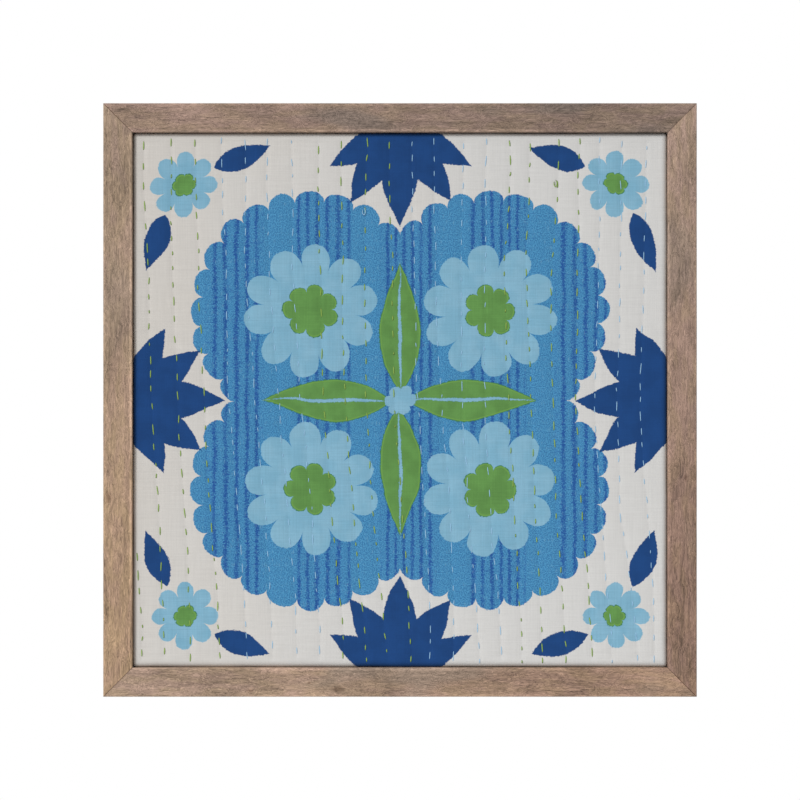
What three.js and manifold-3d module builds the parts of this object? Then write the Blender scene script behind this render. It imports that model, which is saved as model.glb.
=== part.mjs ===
// A square framed textile: quilted printed cotton pulled over a board and set in a mitred wood tray frame.
// Millimetres, +Z up. The back of the frame lies in the plane y = 0 and the picture faces -Y.
import * as THREE from "three";
import { mergeVertices } from "three/addons/utils/BufferGeometryUtils.js";
import Module from "manifold-3d";

// The frame's moulding: a tall leg that shows as the frame's face, and a low ledge behind the panel.
const FRAME_SIDE = 610;
const FACE_WIDTH = 30;
const FRAME_DEPTH = 25;
const LEDGE_REACH = 14;
const LEDGE_THICKNESS = 5;
const ARRIS_RADIUS = 1.8;
const MITRE_GAP = 0.3;

// The panel: a board with the cloth pulled round it, set in the tray with a shadow gap all round.
const SHADOW_GAP = 2;
const PANEL_RECESS = 4;
const TOUCH_GAP = 0.3;
const CLOTH_THICKNESS = 2;
const PANEL_EDGE_RADIUS = 4;
const TURNED_MARGIN = 30;

// What the rows of running stitch pull into the cloth.
const TROUGH_DEPTH = 0.7;
const TROUGH_SHOULDER = 0.22;
const STRIPS_DOWN = 18;

// The rows of running stitch, left to right: where each one runs, as x at five heights down the cloth.
const ROW_HEIGHTS = [241, 118, 0, -123, -241];
const STITCH_ROWS = [
  { top: -264, upper: -258, middle: -256, lower: -247, bottom: -243 },
  { top: -236, upper: -234, middle: -229, lower: -221, bottom: -215 },
  { top: -211, upper: -207, middle: -201, lower: -195, bottom: -185 },
  { top: -184, upper: -178, middle: -176, lower: -166, bottom: -157 },
  { top: -159, upper: -159, middle: -149, lower: -138, bottom: -132 },
  { top: -137, upper: -134, middle: -125, lower: -114, bottom: -106 },
  { top: -111, upper: -110, middle: -102, lower: -90, bottom: -82 },
  { top: -84, upper: -81, middle: -79, lower: -70, bottom: -58 },
  { top: -61, upper: -59, middle: -57, lower: -48, bottom: -35 },
  { top: -34, upper: -36, middle: -35, lower: -27, bottom: -14 },
  { top: -11, upper: -8, middle: -7, lower: 3, bottom: 11 },
  { top: 12, upper: 15, middle: 18, lower: 27, bottom: 31 },
  { top: 35, upper: 37, middle: 42, lower: 53, bottom: 55 },
  { top: 64, upper: 63, middle: 64, lower: 71, bottom: 81 },
  { top: 89, upper: 87, middle: 87, lower: 93, bottom: 104 },
  { top: 114, upper: 107, middle: 112, lower: 118, bottom: 125 },
  { top: 134, upper: 129, middle: 135, lower: 140, bottom: 147 },
  { top: 163, upper: 155, middle: 157, lower: 161, bottom: 170 },
  { top: 184, upper: 183, middle: 181, lower: 187, bottom: 198 },
  { top: 205, upper: 204, middle: 199, lower: 207, bottom: 218 },
  { top: 228, upper: 227, middle: 223, lower: 227, bottom: 244 },
  { top: 253, upper: 252, middle: 246, lower: 255, bottom: 262 },
];

const OPENING_SIDE = FRAME_SIDE - 2 * FACE_WIDTH;
const PANEL_SIDE = OPENING_SIDE - 2 * SHADOW_GAP;
const PANEL_FRONT_Y = -(FRAME_DEPTH - PANEL_RECESS);
const PANEL_BACK_Y = -(LEDGE_THICKNESS + TOUCH_GAP);
const PANEL_THICKNESS = PANEL_BACK_Y - PANEL_FRONT_Y;
const PANEL_MIDDLE_Y = (PANEL_FRONT_Y + PANEL_BACK_Y) / 2;
const BOARD_INSET = CLOTH_THICKNESS + TOUCH_GAP;

const wasm = await Module();
wasm.setup();

const woodMaterial = (color) => new THREE.MeshStandardMaterial({ color, roughness: 0.6, metalness: 0 });
const WOOD = {
  rail_bottom: woodMaterial(0xa78e7c),
  rail_left: woodMaterial(0xa68a70),
  rail_top: woodMaterial(0x8f7b6b),
  rail_right: woodMaterial(0x937e6c),
};
const BOARD_MATERIAL = new THREE.MeshStandardMaterial({ color: 0x9c7c58, roughness: 0.85, metalness: 0 });
const CLOTH_MATERIAL = new THREE.MeshStandardMaterial({ color: 0x4681af, roughness: 0.95, metalness: 0 });

function toSolid(geometry) {
  const bare = geometry.clone();
  bare.deleteAttribute("normal");
  bare.deleteAttribute("uv");
  const merged = mergeVertices(bare, 1e-4);
  const mesh = new wasm.Mesh({
    numProp: 3,
    vertProperties: new Float32Array(merged.attributes.position.array),
    triVerts: new Uint32Array(merged.index.array),
  });
  return new wasm.Manifold(mesh);
}

function toGeometry(solid) {
  const mesh = solid.getMesh();
  const geometry = new THREE.BufferGeometry();
  geometry.setAttribute("position", new THREE.BufferAttribute(mesh.vertProperties, 3));
  geometry.setIndex(new THREE.BufferAttribute(mesh.triVerts, 1));
  const faceted = geometry.toNonIndexed();
  faceted.computeVertexNormals();
  return faceted;
}

// The bottom rail, from its L-shaped section: u runs inwards from the frame's edge, v from the wall outwards.
function railGeometry() {
  const section = new THREE.Shape();
  section.moveTo(0, 0);
  section.lineTo(FACE_WIDTH + LEDGE_REACH, 0);
  section.lineTo(FACE_WIDTH + LEDGE_REACH, LEDGE_THICKNESS);
  section.lineTo(FACE_WIDTH, LEDGE_THICKNESS);
  const arcHeight = FRAME_DEPTH - ARRIS_RADIUS;
  section.absarc(FACE_WIDTH - ARRIS_RADIUS, arcHeight, ARRIS_RADIUS, 0, Math.PI / 2, false);
  section.absarc(ARRIS_RADIUS, arcHeight, ARRIS_RADIUS, Math.PI / 2, Math.PI, false);
  section.closePath();
  const rail = new THREE.ExtrudeGeometry(section, { depth: FRAME_SIDE, bevelEnabled: false, curveSegments: 4 });

  // Each end is cut back by as much as it lies inwards, which is the mitre, less half the joint's gap.
  const position = rail.attributes.position;
  const endCut = (MITRE_GAP / 2) * Math.SQRT2;
  for (let i = 0; i < position.count; i += 1) {
    const u = position.getX(i);
    const v = position.getY(i);
    const startOfRail = position.getZ(i) < FRAME_SIDE / 2;
    const along = startOfRail ? u + endCut : FRAME_SIDE - u - endCut;
    position.setXYZ(i, along - FRAME_SIDE / 2, -v, u - FRAME_SIDE / 2);
  }
  rail.computeVertexNormals();
  return rail;
}

function roundedSquare(side, radius) {
  const reach = side / 2 - radius;
  const outline = new THREE.Shape();
  outline.absarc(reach, -reach, radius, -Math.PI / 2, 0, false);
  outline.absarc(reach, reach, radius, 0, Math.PI / 2, false);
  outline.absarc(-reach, reach, radius, Math.PI / 2, Math.PI, false);
  outline.absarc(-reach, -reach, radius, Math.PI, Math.PI * 1.5, false);
  outline.closePath();
  return outline;
}

// The board, or with a clearance the hollow that it lies in. Its edges are eased all round.
function boardGeometry(clearance) {
  const side = PANEL_SIDE - 2 * BOARD_INSET + 2 * clearance;
  const thickness = PANEL_THICKNESS - 2 * BOARD_INSET + 2 * clearance;
  const easing = PANEL_EDGE_RADIUS - BOARD_INSET + clearance;
  const board = new THREE.ExtrudeGeometry(roundedSquare(side, easing), {
    depth: thickness - 2 * easing,
    bevelThickness: easing,
    bevelSize: easing * 0.9,
    bevelOffset: -easing * 0.9,
    bevelSegments: 3,
    curveSegments: 3,
  });
  board.translate(0, 0, easing - thickness / 2);
  board.rotateX(Math.PI / 2);
  board.translate(0, PANEL_MIDDLE_Y, 0);
  return board;
}

function rowX(row, z) {
  const across = [row.top, row.upper, row.middle, row.lower, row.bottom];
  let step = 0;
  while (step < across.length - 2 && z < ROW_HEIGHTS[step + 1]) step += 1;
  const share = (ROW_HEIGHTS[step] - z) / (ROW_HEIGHTS[step] - ROW_HEIGHTS[step + 1]);
  return THREE.MathUtils.lerp(across[step], across[step + 1], THREE.MathUtils.clamp(share, 0, 1));
}

// Positions across one side of the panel: two for each rounded edge, and what lies between them.
function withEdges(between) {
  const half = PANEL_SIDE / 2;
  const midArc = half - PANEL_EDGE_RADIUS / 2;
  return [-half, -midArc, ...between, midArc, half];
}

// The mesh columns at one height: each row of stitches, and the two shoulders of the strip beside it.
function columnsAt(z) {
  const flatReach = PANEL_SIDE / 2 - PANEL_EDGE_RADIUS;
  const rows = [-flatReach, ...STITCH_ROWS.map((row) => rowX(row, z)), flatReach];
  const between = [];
  for (let r = 0; r < rows.length - 1; r += 1) {
    for (const share of [0, TROUGH_SHOULDER, 1 - TROUGH_SHOULDER]) {
      between.push(THREE.MathUtils.lerp(rows[r], rows[r + 1], share));
    }
  }
  between.push(flatReach);
  return withEdges(between);
}

// Moves a point of a sharp-edged box onto the same box with all its edges rounded.
function roundOff(point, centre, halfSize, radius) {
  const core = halfSize.clone().subScalar(radius);
  const nearest = point.clone().clamp(centre.clone().sub(core), centre.clone().add(core));
  const outward = point.clone().sub(nearest);
  return nearest.add(outward.setLength(radius));
}

// The outside of the wrapped cloth: a rounded slab whose front face follows the rows of stitches.
function wrappedOutside() {
  const flatReach = PANEL_SIDE / 2 - PANEL_EDGE_RADIUS;
  const heights = [];
  for (let s = 0; s <= STRIPS_DOWN; s += 1) heights.push(THREE.MathUtils.lerp(-flatReach, flatReach, s / STRIPS_DOWN));
  const z = withEdges(heights);
  const columns = z.map((height) => columnsAt(height));
  const halfEdge = PANEL_EDGE_RADIUS / 2;
  const y = [
    PANEL_FRONT_Y,
    PANEL_FRONT_Y + halfEdge,
    PANEL_FRONT_Y + PANEL_EDGE_RADIUS,
    PANEL_BACK_Y - PANEL_EDGE_RADIUS,
    PANEL_BACK_Y - halfEdge,
    PANEL_BACK_Y,
  ];

  const across = columns[0].length - 1;
  const through = y.length - 1;
  const down = z.length - 1;
  const slab = new THREE.BoxGeometry(across, through, down, across, through, down);
  const centre = new THREE.Vector3(0, PANEL_MIDDLE_Y, 0);
  const halfSize = new THREE.Vector3(PANEL_SIDE / 2, PANEL_THICKNESS / 2, PANEL_SIDE / 2);
  const position = slab.attributes.position;
  for (let i = 0; i < position.count; i += 1) {
    const column = Math.round(position.getX(i) + across / 2);
    const layer = Math.round(position.getY(i) + through / 2);
    const level = Math.round(position.getZ(i) + down / 2);
    const sharp = new THREE.Vector3(columns[level][column], y[layer], z[level]);
    const point = roundOff(sharp, centre, halfSize, PANEL_EDGE_RADIUS);
    const inField = level > 2 && level < down - 2 && column > 2 && column < across - 2;
    const onRow = (column - 2) % 3 === 0;
    if (layer === 0 && inField && onRow) point.y += TROUGH_DEPTH;
    position.setXYZ(i, point.x, point.y, point.z);
  }
  return slab;
}

// The cloth: the wrapped outside, less the board's hollow and the window its turned margin leaves behind.
function clothGeometry() {
  const windowSide = PANEL_SIDE - 2 * TURNED_MARGIN;
  const backWall = new THREE.BoxGeometry(windowSide, 2 * PANEL_EDGE_RADIUS, windowSide);
  backWall.translate(0, PANEL_BACK_Y, 0);
  const cloth = toSolid(wrappedOutside())
    .subtract(toSolid(boardGeometry(TOUCH_GAP)))
    .subtract(toSolid(backWall));
  return toGeometry(cloth);
}

function named(name, geometry, material) {
  const mesh = new THREE.Mesh(geometry, material);
  mesh.name = name;
  return mesh;
}

function woodFrame() {
  const turns = { rail_bottom: 0, rail_left: Math.PI / 2, rail_top: Math.PI, rail_right: -Math.PI / 2 };
  const frame = new THREE.Group();
  for (const [name, turn] of Object.entries(turns)) {
    const rail = named(name, railGeometry(), WOOD[name]);
    rail.rotation.y = turn;
    frame.add(rail);
  }
  return frame;
}

function coveredPanel() {
  const panel = new THREE.Group();
  panel.add(named("mount_board", boardGeometry(0), BOARD_MATERIAL));
  panel.add(named("cloth", clothGeometry(), CLOTH_MATERIAL));
  return panel;
}

const framedTextile = new THREE.Group();
framedTextile.add(woodFrame(), coveredPanel());

export default framedTextile;
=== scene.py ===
"""A square framed textile: hand-quilted printed cotton on a board, in a mitred wood tray frame."""
import math
import random

import bmesh
import bpy
import numpy as np
from bpy.props import FloatProperty, FloatVectorProperty, IntProperty, PointerProperty
from mathutils import Matrix, Vector, noise


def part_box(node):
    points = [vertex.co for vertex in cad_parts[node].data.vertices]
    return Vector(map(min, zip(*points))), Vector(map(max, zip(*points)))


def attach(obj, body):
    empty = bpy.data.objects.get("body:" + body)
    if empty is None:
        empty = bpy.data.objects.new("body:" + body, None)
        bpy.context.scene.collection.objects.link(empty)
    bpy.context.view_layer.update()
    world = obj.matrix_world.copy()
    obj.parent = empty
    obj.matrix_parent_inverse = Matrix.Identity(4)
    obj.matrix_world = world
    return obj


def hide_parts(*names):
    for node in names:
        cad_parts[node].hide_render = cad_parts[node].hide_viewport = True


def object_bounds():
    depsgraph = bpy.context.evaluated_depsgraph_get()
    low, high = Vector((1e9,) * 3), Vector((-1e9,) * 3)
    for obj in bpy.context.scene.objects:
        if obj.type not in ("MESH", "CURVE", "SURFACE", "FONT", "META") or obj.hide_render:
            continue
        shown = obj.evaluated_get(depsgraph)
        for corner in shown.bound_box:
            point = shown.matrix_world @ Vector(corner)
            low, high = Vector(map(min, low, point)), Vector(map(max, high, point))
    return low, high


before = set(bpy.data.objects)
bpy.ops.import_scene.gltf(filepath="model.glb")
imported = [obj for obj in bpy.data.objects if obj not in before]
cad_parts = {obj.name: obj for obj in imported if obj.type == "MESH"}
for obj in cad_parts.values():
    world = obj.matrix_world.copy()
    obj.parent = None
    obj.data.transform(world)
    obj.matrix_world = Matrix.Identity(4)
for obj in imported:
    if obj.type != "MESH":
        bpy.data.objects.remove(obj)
CAD_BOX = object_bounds()

bl_info = {
    "name": "Framed Quilted Textile",
    "version": (1, 0, 0),
    "blender": (4, 5, 0),
    "location": "3D Viewport > Sidebar > Textile",
    "description": "Makes a quilted printed cotton on its board, in a mitred wood tray frame",
    "category": "Object",
}

MM = 0.001
BODY = "root"

# The frame and the panel, as the solids have them. The front faces -Y and the wall is at y = 0.
FRAME_HALF = CAD_BOX[1].x
FRAME_FRONT_Y = CAD_BOX[0].y
FRAME_BACK_Y = CAD_BOX[1].y
LEDGE_INNER = -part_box("rail_bottom")[1].z
PANEL_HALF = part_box("cloth")[1].x
PANEL_FRONT_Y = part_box("cloth")[0].y
PANEL_BACK_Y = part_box("cloth")[1].y
BOARD_FRONT_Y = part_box("mount_board")[0].y
TOUCH_GAP = 0.3 * MM

# How the cloth's mesh is laid out: lines up its front, places of the columns between two rows of
# stitches, steps round a corner and round an edge, and places of the rings on the turned margin.
FRONT_LINES = 281
COLUMN_SHARES = (0, 0.04, 0.1, 0.18, 0.31, 0.5, 0.69, 0.82, 0.9, 0.96)
FAN_STEPS = 4
WRAP_STEPS = 5
MARGIN_SHARES = (0.25, 0.5, 0.75, 0.96)

# The UV layer of the cloth and the threads, in metres of cloth or thread.
UV_LAYER = "unrolled"

# How far the cloth, wrapped by hand, strays from true on its outside, its inside and its cut edge, how
# far that edge frays, and how deep the turned margin is tucked in at its corners and along its sides.
OUTSIDE_WAVER = 0.22 * MM
INSIDE_WAVER = 0.1 * MM
CUT_WAVER = 0.6 * MM
CUT_FRAY = 0.35 * MM
CORNER_TUCK = 0.55 * MM
SIDE_TUCK = 0.12 * MM

# The cloth's corners seen from the front: 2 is a quarter circle, and more is squarer.
CORNER_SQUARENESS = 5

# A stitch's thread: how many sides it has, and how far out of the cloth it lies from its one end to
# its other, as shares of half its height.
THREAD_SIDES = 8
STITCH_RISE = (-0.8, 0.1, 0.62, 0.85, 0.9, 0.85, 0.62, 0.1, -0.8)

# The heights in the cloth at which the rows of stitches are worked out.
PATH_Z = np.linspace(-0.32, 0.32, 641)

# The photograph is square and shows the frame head-on, at this width.
PHOTO_WIDTH_PX = 800
FRAME_WIDTH_PX = 593.8

# Where the lights stand, in metres. They face the frame's middle.
KEY_LIGHT_PLACE = (-2.6, -2.3, 2.4)
BACK_LIGHT_PLACE = (1.6, 2.2, 1.4)
BACK_LIGHT_SIZE = 1.5

# The rows of running stitch, left to right: the thread, and x in millimetres at each of five heights.
ROW_HEIGHTS_MM = (241, 118, 0, -123, -241)
STITCH_ROWS_MM = (
    ("green", -290, -284, -279, -272, -265),
    ("green", -264, -258, -256, -247, -243),
    ("green", -236, -234, -229, -221, -215),
    ("green", -211, -207, -201, -195, -185),
    ("blue", -184, -178, -176, -166, -157),
    ("blue", -159, -159, -149, -138, -132),
    ("blue", -137, -134, -125, -114, -106),
    ("blue", -111, -110, -102, -90, -82),
    ("green", -84, -81, -79, -70, -58),
    ("green", -61, -59, -57, -48, -35),
    ("green", -34, -36, -35, -27, -14),
    ("green", -11, -8, -7, 3, 11),
    ("blue", 12, 15, 18, 27, 31),
    ("blue", 35, 37, 42, 53, 55),
    ("blue", 64, 63, 64, 71, 81),
    ("blue", 89, 87, 87, 93, 104),
    ("green", 114, 107, 112, 118, 125),
    ("green", 134, 129, 135, 140, 147),
    ("green", 163, 155, 157, 161, 170),
    ("green", 184, 183, 181, 187, 198),
    ("blue", 205, 204, 199, 207, 218),
    ("blue", 228, 227, 223, 227, 244),
    ("blue", 253, 252, 246, 255, 262),
)

# Each rail is the bottom one turned about Y, with its own piece of wood, whose colour drifts along it.
RAILS = {
    "rail_bottom": {"turn": 0, "wood": ("a9927f", "9e836f"), "figure": 1.0, "wear": 0.5, "shift": 0.0},
    "rail_left": {"turn": 90, "wood": ("a08b79", "ac9177"), "figure": 0.5, "wear": 1.0, "shift": 1.7},
    "rail_top": {"turn": 180, "wood": ("857367", "9d8677"), "figure": 1.0, "wear": 0.7, "shift": 3.1},
    "rail_right": {"turn": 270, "wood": ("8e7464", "a08a7a"), "figure": 0.6, "wear": 0.4, "shift": 5.3},
}

# The small knots of each rail: millimetres along it, millimetres in from its outer edge, and reach.
KNOTS_MM = {
    "rail_bottom": ((-154, 6.5, 1.8), (-64, 8.0, 3.2), (-93, 14.5, 1.1)),
    "rail_left": ((100, 5.0, 3.0),),
    "rail_top": (),
    "rail_right": ((-80, 11.5, 1.8),),
}


def ink(code):
    """The linear colour of a six-digit sRGB code."""
    shares = (int(code[i : i + 2], 16) / 255 for i in (0, 2, 4))
    return tuple(s / 12.92 if s <= 0.04045 else ((s + 0.055) / 1.055) ** 2.4 for s in shares)


def colour_property(name, description, code):
    return FloatVectorProperty(
        name=name, description=description, default=ink(code), subtype="COLOR", size=3, min=0, max=1
    )


def number_property(name, description, default, **kind):
    return FloatProperty(name=name, description=description, default=default, **kind)


def length_property(name, description, default):
    return number_property(name, description, default, unit="LENGTH", precision=5)


class FrameSettings(bpy.types.PropertyGroup):
    face_width: length_property("Face width", "Width of the rail as seen from the front", 30 * MM)
    ledge_thickness: length_property("Ledge thickness", "Depth of the ledge behind the panel", 5 * MM)
    arris_radius: length_property("Arris radius", "Rounding of the two front edges of a rail", 1.2 * MM)
    mitre_gap: length_property("Mitre gap", "Width of the glued joint at a corner", 0.004 * MM)
    wear_depth: length_property("Wear depth", "How unevenly the edges were sanded", 0.25 * MM)


class ClothSettings(bpy.types.PropertyGroup):
    edge_radius: length_property("Edge radius", "Rounding of the cloth over the board's edge", 4 * MM)
    side_swell: length_property("Side swell", "How far the padded sides bulge towards the rails", 1.7 * MM)
    turned_margin: length_property("Turned margin", "Cloth turned over on the board's back", 30 * MM)
    trough_depth: length_property("Trough depth", "How deep a row of stitches is pulled in", 0.58 * MM)
    crinkle: length_property("Crinkle", "Height of the small gathers beside the stitches", 0.14 * MM)
    ground: colour_property("Ground", "The bare cotton", "cdccca")
    mid_blue: colour_property("Mid blue", "The large printed ground", "4283b1")
    stripe_blue: colour_property("Stripe blue", "The fuzzy streaks in the mid blue", "225295")
    light_blue: colour_property("Light blue", "The petals", "82afc6")
    green: colour_property("Green", "The leaves and the middle flower", "62924d")
    navy: colour_property("Navy", "The side leaves", "1b447c")


class StitchSettings(bpy.types.PropertyGroup):
    green_width: length_property("Green thread width", "Width of a green stitch", 1.12 * MM)
    blue_width: length_property("Blue thread width", "Width of a pale blue stitch", 0.78 * MM)
    stitch_length: length_property("Stitch length", "Mean length of a stitch", 7.2 * MM)
    stitch_gap: length_property("Stitch gap", "Mean gap between two stitches of a row", 10.8 * MM)
    seed: IntProperty(name="Seed", description="Which hand-sewn unevenness is made", default=7)
    green_thread: colour_property("Green thread", "Colour of the green rows", "84a544")
    blue_thread: colour_property("Blue thread", "Colour of the pale blue rows", "96c1e0")


class StageSettings(bpy.types.PropertyGroup):
    camera_distance: length_property("Camera distance", "From the camera to the frame's face", 3.0)
    floor_height: length_property("Floor height", "Height of the floor under the frame's middle", -0.85)
    floor_radius: length_property("Floor radius", "Radius of the floor", 1.2)
    key_strength: number_property("Key light", "Strength of the soft key light", 2.65)
    key_spread: number_property("Key spread", "How soft the key light is", math.radians(26), subtype="ANGLE")
    back_power: number_property("Back light", "Power of the light behind", 50, unit="POWER")
    fill: number_property("Fill", "Strength of the light from all round", 0.49)


# Small tools for modelling


def leave_selection():
    if bpy.context.object and bpy.context.object.mode != "OBJECT":
        bpy.ops.object.mode_set(mode="OBJECT")
    bpy.ops.object.select_all(action="DESELECT")


def new_object(name, data):
    thing = bpy.data.objects.new(name, data)
    bpy.context.scene.collection.objects.link(thing)
    return thing


def take(piece):
    """Selects one piece and nothing else."""
    leave_selection()
    piece.select_set(True)
    bpy.context.view_layer.objects.active = piece


def pick(kind, wanted):
    """In edit mode, selects the faces or edges that are wanted, and nothing else."""
    bpy.ops.mesh.select_mode(type=kind)
    bpy.ops.mesh.select_all(action="DESELECT")
    mesh = bpy.context.edit_object.data
    shape = bmesh.from_edit_mesh(mesh)
    for element in list(shape.faces if kind == "FACE" else shape.edges):
        if wanted(element):
            element.select_set(True)
    bmesh.update_edit_mesh(mesh)


def middle(edge):
    return (edge.verts[0].co + edge.verts[1].co) / 2


def runs_along(edge, axis):
    way = edge.verts[1].co - edge.verts[0].co
    return abs(way[axis]) > 0.999 * way.length


def smooth_by_angle(piece, degrees):
    take(piece)
    bpy.ops.object.shade_smooth_by_angle(angle=math.radians(degrees))
    piece.select_set(False)


def face_outwards(piece):
    take(piece)
    bpy.ops.object.mode_set(mode="EDIT")
    bpy.ops.mesh.select_all(action="SELECT")
    bpy.ops.mesh.normals_make_consistent(inside=False)
    bpy.ops.object.mode_set(mode="OBJECT")
    piece.select_set(False)


class MeshPlan:
    """The points, the faces and the UV of every face corner, gathered for one piece."""

    def __init__(self):
        self.points = []
        self.faces = []
        self.uvs = []

    def add_face(self, corners, corner_uvs):
        self.faces.append(corners)
        self.uvs += corner_uvs

    def make_piece(self, name):
        mesh = bpy.data.meshes.new(name)
        mesh.from_pydata([tuple(p) for p in self.points], [], self.faces)
        layer = mesh.uv_layers.new(name=UV_LAYER)
        layer.data.foreach_set("uv", np.asarray(self.uvs, np.float32).ravel())
        mesh.update()
        return new_object(name, mesh)


def eased(share):
    """A share from 0 to 1, with soft ends."""
    return share * share * (3 - 2 * share)


def soft_noise(x, z, size_x, size_z, seed):
    """Smooth noise from -1 to 1 at arrays of points, with lumps of about size_x by size_z."""
    u = np.asarray(x) / size_x + 500.0
    v = np.asarray(z) / size_z + 500.0
    column, line = np.floor(u), np.floor(v)
    s, t = eased(u - column), eased(v - line)

    def lattice(i, j):
        wave = np.sin(i * 127.1 + j * 311.7 + seed * 74.7) * 43758.5453
        return 2 * (wave - np.floor(wave)) - 1

    near = lattice(column, line) * (1 - s) + lattice(column + 1, line) * s
    far = lattice(column, line + 1) * (1 - s) + lattice(column + 1, line + 1) * s
    return near * (1 - t) + far * t


# Small tools for materials


class Signal:
    """One output of a node. Arithmetic with it adds math nodes to its sheet."""

    def __init__(self, sheet, socket):
        self.sheet = sheet
        self.socket = socket

    def __add__(self, other):
        return self.sheet.math("ADD", self, other)

    def __sub__(self, other):
        return self.sheet.math("SUBTRACT", self, other)

    def __rsub__(self, other):
        return self.sheet.math("SUBTRACT", other, self)

    def __mul__(self, other):
        return self.sheet.math("MULTIPLY", self, other)

    def __truediv__(self, other):
        return self.sheet.math("DIVIDE", self, other)

    def __rtruediv__(self, other):
        return self.sheet.math("DIVIDE", other, self)

    def __pow__(self, other):
        return self.sheet.math("POWER", self, other)

    def __abs__(self):
        return self.sheet.math("ABSOLUTE", self)


class NodeSheet:
    """Adds nodes to one node tree. An operand is a signal or a plain value."""

    NODES_A_LINE = 14
    STEP_RIGHT = 220
    STEP_DOWN = 300

    def __init__(self, tree):
        self.tree = tree
        self.made = 0

    def node(self, kind, operands=None, **settings):
        node = self.tree.nodes.new(kind)
        line, column = divmod(self.made, self.NODES_A_LINE)
        node.location = (self.STEP_RIGHT * column, -self.STEP_DOWN * line)
        self.made += 1
        for name, value in settings.items():
            setattr(node, name, value)
        for place, operand in (operands or {}).items():
            self.feed(node.inputs[place], operand)
        return node

    def feed(self, socket, operand):
        if isinstance(operand, Signal):
            self.tree.links.new(operand.socket, socket)
        elif socket.type == "RGBA" and len(operand) == 3:
            socket.default_value = (*operand, 1)
        else:
            socket.default_value = operand

    def fill(self, node, **operands):
        """Feeds a node's inputs by their names, with _ for a space."""
        for name, operand in operands.items():
            self.feed(node.inputs[name.replace("_", " ")], operand)

    def outputs(self, node):
        return {socket.name: Signal(self, socket) for socket in node.outputs}

    def signal(self, kind, operands=None, output=0, **settings):
        """One output of a new node."""
        return Signal(self, self.node(kind, operands, **settings).outputs[output])

    def group(self, tree, **operands):
        """The outputs, by name, of a group placed with these inputs."""
        node = self.node("ShaderNodeGroup", node_tree=tree)
        self.fill(node, **operands)
        return self.outputs(node)

    def math(self, operation, *operands, clamp=False):
        return self.signal("ShaderNodeMath", dict(enumerate(operands)), operation=operation, use_clamp=clamp)

    def sine(self, angle):
        return self.math("SINE", angle)

    def root(self, value):
        return self.math("SQRT", value)

    def largest(self, first, *others):
        for other in others:
            first = self.math("MAXIMUM", first, other)
        return first

    def between(self, value, low, high, to_low=0.0, to_high=1.0):
        """The value carried from one range to another and kept inside it, with soft ends."""
        places = {"Value": value, "From Min": low, "From Max": high, "To Min": to_low, "To Max": to_high}
        return self.signal("ShaderNodeMapRange", places, interpolation_type="SMOOTHSTEP")

    def split(self, vector):
        return list(self.outputs(self.node("ShaderNodeSeparateXYZ", {0: vector})).values())

    def joined(self, x, y, z):
        return self.signal("ShaderNodeCombineXYZ", {0: x, 1: y, 2: z})

    def moved(self, vector, way):
        return self.signal("ShaderNodeVectorMath", {0: vector, 1: way}, operation="ADD")

    def scaled(self, vector, scale):
        return self.signal("ShaderNodeVectorMath", {0: vector, "Scale": scale}, operation="SCALE")

    def mapped(self, vector, **places):
        return self.signal("ShaderNodeMapping", {"Vector": vector, **places})

    def noise(self, vector, scale, shift=(0, 0, 0), detail=2.0, roughness=0.5, output="Fac"):
        """Noise of one scale, or of its own scale along each axis and then shifted."""
        if isinstance(scale, tuple):
            vector = self.mapped(vector, Scale=scale, Location=shift)
            scale = 1.0
        places = {"Vector": vector, "Scale": scale, "Detail": detail, "Roughness": roughness}
        return self.signal("ShaderNodeTexNoise", places, output)

    def mix_colour(self, share, first, second, blend="MIX"):
        places = {0: share, 6: first, 7: second}
        return self.signal("ShaderNodeMix", places, 2, data_type="RGBA", blend_type=blend)

    def bump(self, height, distance, strength):
        return self.signal("ShaderNodeBump", {"Height": height, "Distance": distance, "Strength": strength})


def new_group(name, inputs, outputs):
    """A shader node group with named sockets: its tree, its sheet, its input signals and its output node."""
    tree = bpy.data.node_groups.new(name, "ShaderNodeTree")
    kinds = {"float": "NodeSocketFloat", "vector": "NodeSocketVector", "colour": "NodeSocketColor"}
    for side, sockets in (("INPUT", inputs), ("OUTPUT", outputs)):
        for label, kind in sockets.items():
            tree.interface.new_socket(name=label, in_out=side, socket_type=kinds[kind])
    n = NodeSheet(tree)
    return tree, n, n.outputs(n.node("NodeGroupInput")), n.node("NodeGroupOutput")


def floats(*labels):
    return dict.fromkeys(labels, "float")


def new_material(name):
    """A material with its sheet and its Principled shader."""
    material = bpy.data.materials.new(name)
    material.use_nodes = True
    shader = material.node_tree.nodes["Principled BSDF"]
    return material, NodeSheet(material.node_tree), shader


def shade(colour, *shares):
    """The plain colour times one share, or times a share for each channel, and 1 at most."""
    if len(shares) == 1:
        shares = shares * 3
    return tuple(min(channel * share, 1.0) for channel, share in zip(colour, shares))


# The print, from shapes that are measured as how far a point lies inside them, in millimetres


def petal_flower_group():
    """How far a point lies inside a flower with round petals about the origin."""
    inputs = floats("X", "Z", "Petals", "Notch", "Tip", "Turn")
    tree, n, given, result = new_group("petal flower", inputs, floats("Inside"))
    x, z, petals, notch, tip, turn = (given[label] for label in inputs)
    angle = n.math("ARCTAN2", z, x) + turn
    off_middle = n.math("PINGPONG", angle / (2 * math.pi) * petals, 0.5) * 2
    bulge = n.root(n.math("SUBTRACT", 1, off_middle**2, clamp=True))
    reach = notch + bulge * (tip - notch)
    n.fill(result, Inside=reach - n.root(x**2 + z**2))
    return tree


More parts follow.
